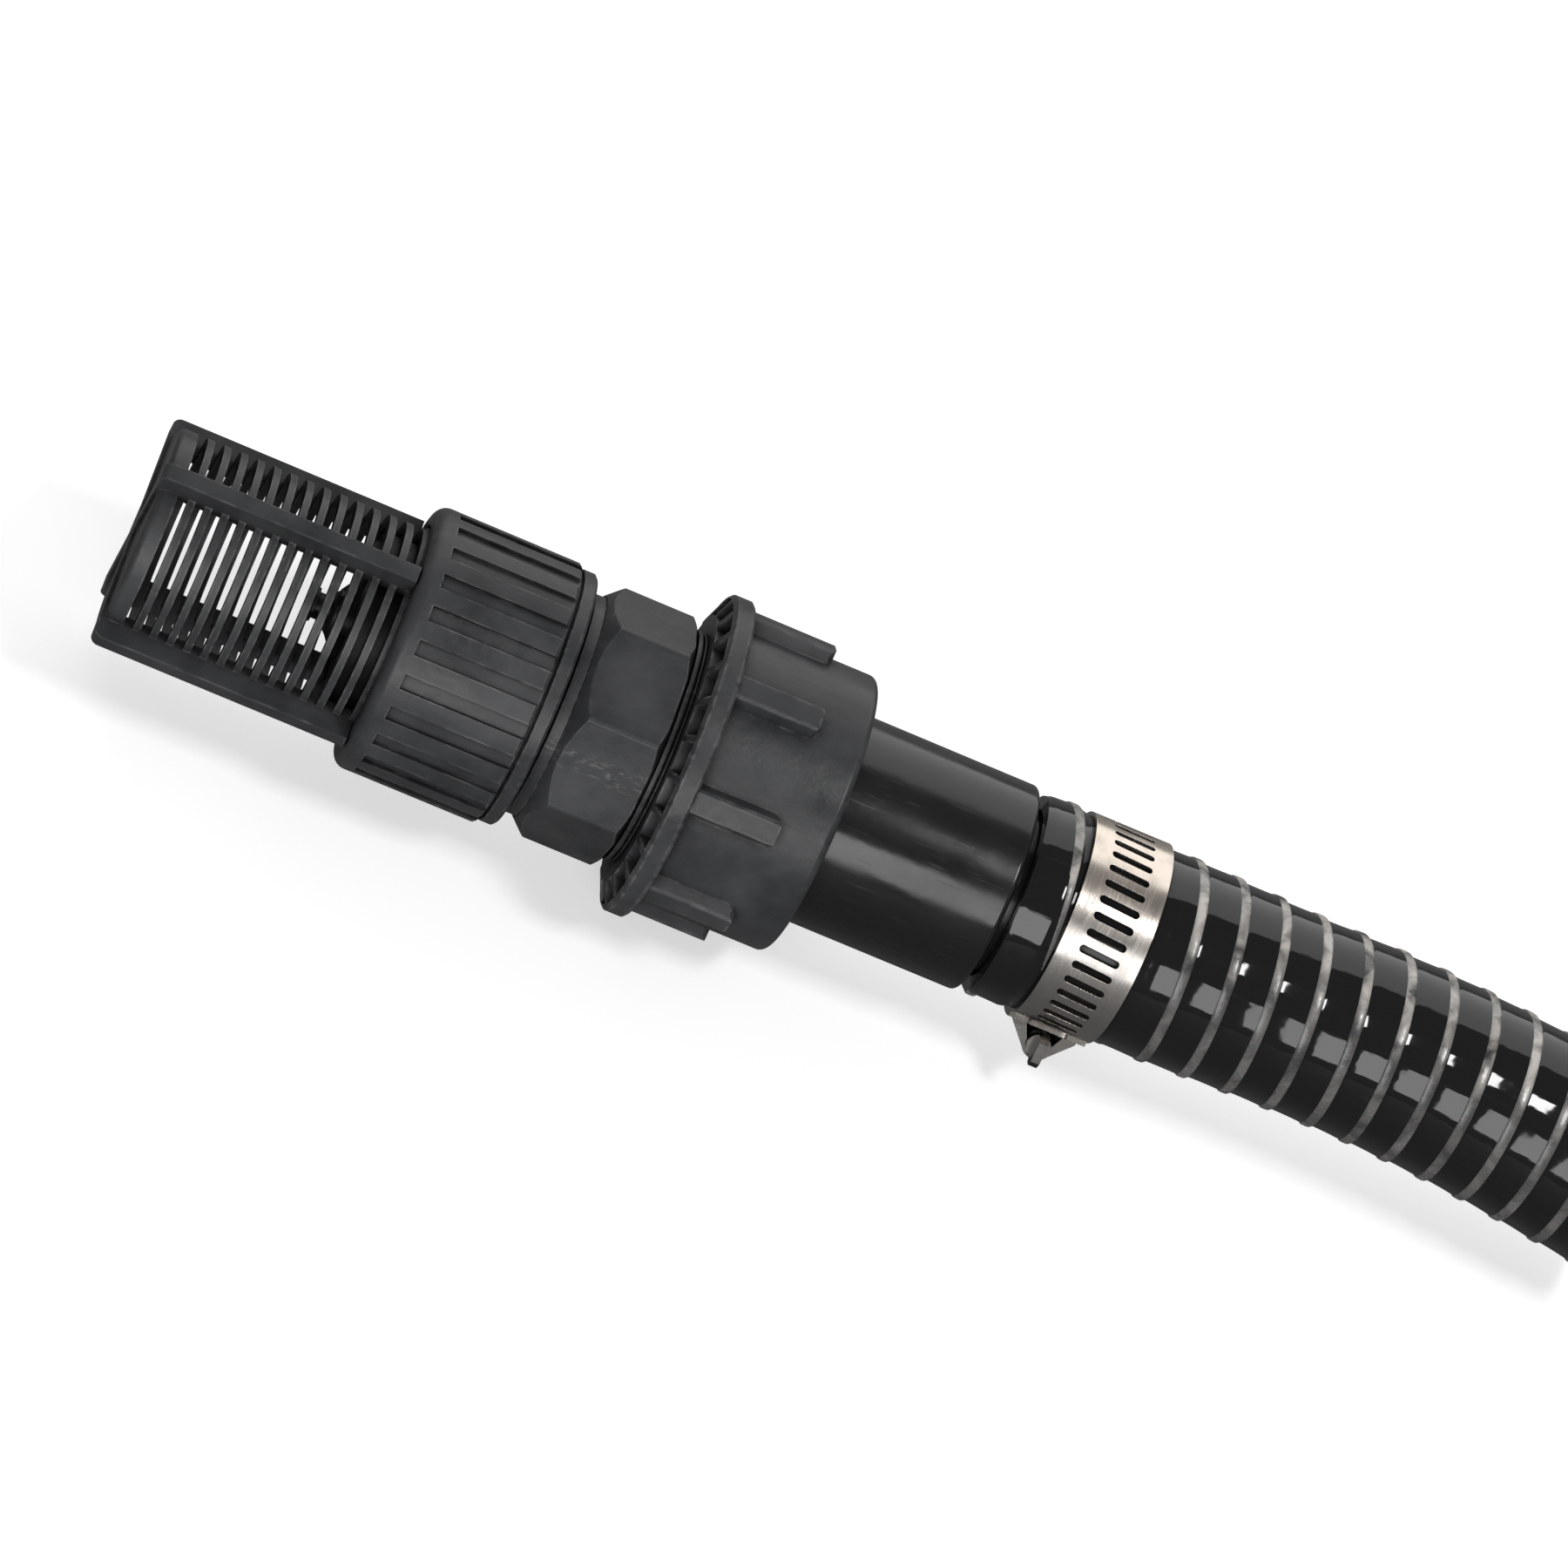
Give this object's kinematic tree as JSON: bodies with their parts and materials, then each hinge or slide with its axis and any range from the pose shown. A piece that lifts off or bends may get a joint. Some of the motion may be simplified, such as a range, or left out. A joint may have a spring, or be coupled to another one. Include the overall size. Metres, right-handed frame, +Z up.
{
  "type": "foot valve",
  "caption": "Foot valve with a slotted strainer basket, sprung check poppet, union nut and hose tail clamped into a stub of spiral suction hose.",
  "frame": {"origin": "centre of the strainer basket's closed end, on the valve's axis", "axes": "+X along the flow, from the strainer's closed end to the hose; +Z up, as the valve lies on its side; the clamp's screw housing sits low on the -Y side"},
  "size_m": [0.2534, 0.0508, 0.0508],
  "materials": {
    "black_moulded": "satin black moulded plastic",
    "inner_moulded": "satin dark grey moulded plastic",
    "gloss_black": "polished black plastic with fine scratches",
    "hose_black": "glossy black soft PVC",
    "spiral_white": "milky translucent hard PVC",
    "seal_rubber": "matte black rubber",
    "stainless": "bright stainless strip"
  },
  "bodies": {
    "hose_side": {"hose_tail": "gloss_black", "union_gasket": "seal_rubber", "hose_wall": "hose_black", "hose_spiral": "spiral_white", "clamp_saddle": "stainless", "clamp_band": "stainless", "clamp_housing": "stainless"},
    "nut": {"union_nut": "black_moulded"},
    "body": {"valve_body": "black_moulded"},
    "housing_seal": {"body_o_ring": "seal_rubber"},
    "housing": {"valve_housing": "black_moulded", "seat_gasket": "seal_rubber", "valve_seat": "inner_moulded", "upper_guide": "inner_moulded", "return_spring": "stainless"},
    "basket": {"strainer_basket": "black_moulded"},
    "poppet": {"poppet": "inner_moulded", "poppet_seal": "seal_rubber", "seal_clip": "stainless"},
    "screw": {"clamp_screw": "stainless"}
  },
  "joints": [
    {"name": "nut_turn", "type": "hinge", "parent": "hose_side", "child": "nut", "pos_m": [0.1, 0, 0], "axis": [1, 0, 0], "range_deg": [0, 2160]},
    {"name": "body_travel", "type": "slide", "parent": "hose_side", "child": "body", "axis": [-1, 0, 0], "range_m": [0, 0.0139]},
    {"name": "housing_travel", "type": "slide", "parent": "body", "child": "housing_seal", "axis": [-1, 0, 0], "range_m": [0, 0.0061]},
    {"name": "housing_turn", "type": "hinge", "parent": "housing_seal", "child": "housing", "pos_m": [0.05, 0, 0], "axis": [-1, 0, 0], "range_deg": [0, 1080]},
    {"name": "basket_pull", "type": "slide", "parent": "housing", "child": "basket", "axis": [-1, 0, 0], "range_m": [0, 0.005]},
    {"name": "poppet_lift", "type": "slide", "parent": "housing", "child": "poppet", "axis": [1, 0, 0], "range_m": [0, 0.0024], "stiffness_N_per_m": 120, "springref_m": -0.004, "deforming": ["return_spring"]},
    {"name": "screw_turn", "type": "hinge", "parent": "hose_side", "child": "screw", "pos_m": [0.15515, -0.00887, -0.01669], "axis": [0, -0.8829, 0.4695], "range_deg": [-720, 720]}
  ],
  "couplings": [
    {"joint": "body_travel", "follows": "nut_turn", "m_per_rad": 0.00036749},
    {"joint": "housing_travel", "follows": "housing_turn", "m_per_rad": 0.00031831}
  ]
}
